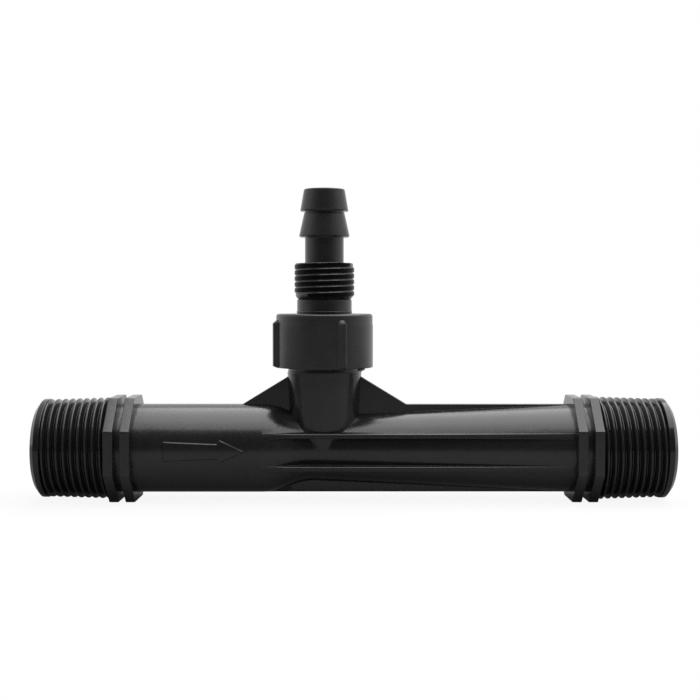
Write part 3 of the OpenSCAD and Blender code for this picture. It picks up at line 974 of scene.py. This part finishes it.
def make_nut(finish):
    band_z = NUT_TOP_Z - NUT_BAND
    band_r = NUT_R - NUT_BAND_DROP
    shell = turned("union_nut_shell", [
        (NUT_BORE_R, NUT_LOW_Z, 0.2), (NUT_R, NUT_LOW_Z, 0.25), (NUT_R, band_z - 0.12, 0),
        (band_r, band_z, 0), (band_r, NUT_TOP_Z, NUT_ROUND), (LID_HOLE_R, NUT_TOP_Z, 0.25),
        (LID_HOLE_R, NUT_TOP_Z - NUT_LID, 0), (NUT_BORE_R, NUT_TOP_Z - NUT_LID, 0.2)])
    rib = grip_rib()
    tree, ids = grip_tree()
    ribs = grown("grip_ribs", tree, ids, {
        "Rib": rib, "Count": GRIP_COUNT, "First turn": GRIP_TURN, "Spread": GRIP_SPREAD,
        "Finish": finish})
    bpy.data.objects.remove(rib)
    nut = fused("union_nut_cap", shell, [ribs], [])
    finished(at_port(nut), finish, "union_nut", "nut")
    return nut


def make_tail(finish, tree, ids):
    core = LOCK_R - LOCK_DEPTH
    shank_z = LOCK_Z + LOCK_LEN
    low_barb_z = shank_z + SHANK_LEN
    barb_neck_z = low_barb_z + LOW_BARB_LEN
    top_barb_z = barb_neck_z + BARB_NECK
    bore_z = TIP_Z - TAIL_BORE_LEN
    neck_top = LOCK_Z - UNDERCUT_W
    body = turned("hose_tail_stem", [
        (NECK_BORE_R, FLANGE_Z, 0.2), (FLANGE_R, FLANGE_Z, 0.2), (FLANGE_R, FLANGE_Z + FLANGE_T, 0.2),
        (NECK_R, FLANGE_Z + FLANGE_T, 0.3), (NECK_R, NECK_BEAD_Z - 0.3, 0),
        (NECK_R + NECK_BEAD, NECK_BEAD_Z - 0.22, 0), (NECK_R + NECK_BEAD, NECK_BEAD_Z, 0.05),
        (NECK_R, NECK_BEAD_Z + 0.2, 0), (NECK_R, neck_top, 0.25),
        (NECK_R - UNDERCUT, neck_top + 0.1, 0), (core, LOCK_Z + 0.2, 0.1),
        (core, shank_z - 0.05, 0.1), (SHANK_R, shank_z, 0.35), (SHANK_R, low_barb_z, 0.3),
        (LOW_BARB_R - 0.3, low_barb_z, 0.1), (LOW_BARB_R, low_barb_z + 0.3, 0.1),
        (LOW_BARB_TOP, barb_neck_z, 0), (BARB_NECK_R, barb_neck_z + 0.12, 0.06),
        (BARB_NECK_R, top_barb_z, 0.15), (TOP_BARB_R - 0.1, top_barb_z, 0.08),
        (TOP_BARB_R, top_barb_z + 0.25, 0.1), (TOP_BARB_R - 0.12, top_barb_z + 0.8, 0.3),
        (TOP_BARB_TIP, TIP_Z, TIP_ROUND), (TAIL_BORE_R, TIP_Z, 0.3), (TAIL_BORE_R, bore_z, 0.3),
        (NECK_BORE_R, bore_z - (NECK_BORE_R - TAIL_BORE_R), 0.3)])
    sink = 0.3
    start = LOCK_Z + 0.27
    rise = LOCK_LEN - 0.22
    roll = -2 * math.pi * rise / LOCK_PITCH
    flank = (LOCK_PITCH - LOCK_CREST) / LOCK_DEPTH
    ridge = grown("lock_thread", tree, ids, {
        "Turns": rise / LOCK_PITCH, "Rise": rise, "Start radius": core - sink,
        "End radius": core - sink, "Steps per turn": TURN_STEPS,
        "Foot width": LOCK_CREST + flank * (LOCK_DEPTH + sink), "Crest width": LOCK_CREST,
        "Height": LOCK_DEPTH + sink, "Crest round": 0.06, "Lean": LOCK_LEAN, "Run in": 0.3,
        "Run out": 0.1, "Finish": finish})
    ridge.data.transform(Matrix.Translation((0, 0, start)) @ Matrix.Rotation(roll, 4, "Z"))
    above = turned("above_thread", [
        (core - 1.0, shank_z, 0), (LOCK_R + 1.0, shank_z, 0), (LOCK_R + 1.0, shank_z + 1.5, 0),
        (core - 1.0, shank_z + 1.5, 0)])
    tail = fused("barbed_tail", body, [ridge], [above])
    finished(at_port(tail), finish, "hose_tail", "tail")
    return tail


def make_gasket(finish):
    edge = 0.25
    ring = turned("flat_gasket", [
        (SEAT_R, gasket_low[2], edge), (GASKET_R, gasket_low[2], edge),
        (GASKET_R, gasket_high[2], edge), (SEAT_R, gasket_high[2], edge)])
    finished(at_port(ring), finish, "tail_gasket", "tail")
    return ring


def make_spring(finish):
    tree, ids = spring_tree()
    rise = spring_high[2] - spring_low[2] - 2 * WIRE_R
    coil = grown("valve_spring", tree, ids, {
        "Turns": COIL_TURNS, "Rise": rise, "Coil radius": COIL_R, "Wire radius": WIRE_R,
        "Finish": finish})
    finished(at_port(coil, spring_low[2] + WIRE_R), finish, "check_spring", "pipe")
    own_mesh(coil)
    return coil


# Studio

def ray_kinds(tree):
    """One where the camera looks straight at a surface, and one where a gloss or a clear piece does."""
    path = add_node(tree, "ShaderNodeLightPath")
    shine = add_node(tree, "ShaderNodeMath", {
        0: path.outputs["Is Glossy Ray"], 1: path.outputs["Is Transmission Ray"]},
        operation="MAXIMUM")
    return path.outputs["Is Camera Ray"], shine.outputs[0]


def lay_floor():
    """Pale floor: it keeps the shadow near the part and turns white further out."""
    corners = [(FLOOR_HALF * x, FLOOR_HALF * y, 0) for x, y in ((-1, -1), (1, -1), (1, 1), (-1, 1))]
    floor = new_object("studio_floor", corners, [(0, 1, 2, 3)])
    paint = bpy.data.materials.new("floor_white")
    paint.use_nodes = True
    tree = paint.node_tree
    tree.nodes.clear()
    where = add_node(tree, "ShaderNodeTexCoord").outputs["Object"]
    away = add_node(tree, "ShaderNodeVectorMath", {0: where}, operation="LENGTH")
    axes = add_node(tree, "ShaderNodeSeparateXYZ", {0: where})
    around = add_node(tree, "ShaderNodeMapRange", {
        "Value": away.outputs["Value"], "From Min": 0.09, "From Max": 0.3,
        "To Min": FLOOR_LIFT, "To Max": 1.0}, interpolation_type="SMOOTHSTEP")
    behind = add_node(tree, "ShaderNodeMapRange", {
        "Value": axes.outputs["Y"], "From Min": 0.05, "From Max": 0.3, "To Min": FLOOR_SHINE},
        interpolation_type="SMOOTHSTEP")
    camera, shine = ray_kinds(tree)
    looked = add_node(tree, "ShaderNodeMath", {0: around.outputs[0], 1: camera}, operation="MULTIPLY")
    mirrored = add_node(tree, "ShaderNodeMath", {0: behind.outputs[0], 1: shine}, operation="MULTIPLY")
    share = add_node(tree, "ShaderNodeMath", {
        0: looked.outputs[0], 1: mirrored.outputs[0]}, operation="MAXIMUM")
    pale = add_node(tree, "ShaderNodeMix", {0: camera, 2: FLOOR_GREY, 3: FLOOR_PALE})
    lit = add_node(tree, "ShaderNodeBsdfDiffuse", {"Color": pale.outputs[0]})
    white = add_node(tree, "ShaderNodeEmission", {"Color": (1, 1, 1, 1), "Strength": 1.0})
    mixed = add_node(tree, "ShaderNodeMixShader", {
        0: share.outputs[0], 1: lit.outputs[0], 2: white.outputs[0]})
    out = tree.nodes.new("ShaderNodeOutputMaterial")
    tree.links.new(mixed.outputs[0], out.inputs["Surface"])
    floor.data.materials.append(paint)


def light_world():
    """White backdrop for the camera; glosses see it darken towards the front of the part."""
    world = bpy.data.worlds.new("studio")
    bpy.context.scene.world = world
    world.use_nodes = True
    tree = world.node_tree
    back = tree.nodes["Background"]
    back.inputs["Color"].default_value = (1, 1, 1, 1)
    where = add_node(tree, "ShaderNodeTexCoord").outputs["Generated"]
    axes = add_node(tree, "ShaderNodeSeparateXYZ", {0: where})
    fall = add_node(tree, "ShaderNodeMapRange", {
        "Value": axes.outputs["Y"], "From Min": -0.95, "From Max": 0.05,
        "To Min": WORLD_FRONT, "To Max": 1.0}, interpolation_type="SMOOTHSTEP")
    camera, shine = ray_kinds(tree)
    filled = add_node(tree, "ShaderNodeMix", {0: shine, 2: WORLD_FILL, 3: fall.outputs[0]})
    level = add_node(tree, "ShaderNodeMath", {0: camera, 1: filled.outputs[0]}, operation="MAXIMUM")
    tree.links.new(level.outputs[0], back.inputs["Strength"])


def hang_softbox(name, y, depth, radiance):
    """Level rectangular soft light; its power is worked out from its size and brightness."""
    lamp = bpy.data.lights.new(name, "AREA")
    lamp.shape = "RECTANGLE"
    lamp.size = BOX_W
    lamp.size_y = depth
    lamp.energy = radiance * math.pi * BOX_W * depth
    box = bpy.data.objects.new(name, lamp)
    box.location = (BOX_X, y, BOX_Z)
    box.rotation_euler = Vector((0, 0, -BOX_Z)).to_track_quat("-Z", "Y").to_euler()
    box.visible_camera = False
    bpy.context.scene.collection.objects.link(box)


def set_camera():
    eye = Vector(EYE) * MM
    aim = Vector(AIM) * MM
    lens = bpy.data.cameras.new("photo_camera")
    lens.sensor_width = SENSOR_W
    lens.lens = SENSOR_W * FOCAL_PX / PICTURE_PX
    lens.clip_start = 0.01
    camera = bpy.data.objects.new("photo_camera", lens)
    camera.location = eye
    camera.rotation_euler = (aim - eye).to_track_quat("-Z", "Y").to_euler()
    bpy.context.scene.collection.objects.link(camera)
    bpy.context.scene.camera = camera


bpy.context.scene.view_settings.view_transform = "Standard"
set_camera()
lay_floor()
light_world()
hang_softbox("top_softbox", TOP_BOX_Y, TOP_BOX_DEPTH, TOP_BOX_LEVEL)
hang_softbox("front_softbox", FRONT_BOX_Y, FRONT_BOX_DEPTH, FRONT_BOX_LEVEL)

# Bands with a sheen of their own and painted shade: distance, its low and high end, mirror level, painted
# shade tint and roughness
pipe_threads = (along_x, COLLAR_OUT_X, HALF_LEN, 0.42, 0.85, 0.14)
lock_crests = (from_port, LOCK_R - 0.06, LOCK_R + 0.1, 0.06, 0.2, 0.3)
black_body = moulded_plastic("body_black", (0.0125, 0.013, 0.0135), 0.22, 0.55, 0.006, 5.0, pipe_threads)
black_nut = moulded_plastic("nut_black", (0.019, 0.0195, 0.020), 0.3, 0.45, 0.0015, 6.0, None)
black_tail = moulded_plastic("tail_black", (0.0135, 0.014, 0.0145), 0.27, 0.45, 0.001, 6.0, lock_crests)

ridge_tree, ridge_ids = thread_tree()
make_body(black_body, ridge_tree, ridge_ids)
make_nut(black_nut)
make_tail(black_tail, ridge_tree, ridge_ids)
make_gasket(seal_rubber())
make_spring(drawn_wire())
ball = frame["nodes"]["check_ball"]
ball.data.materials.clear()
ball.data.materials.append(ground_acetal())
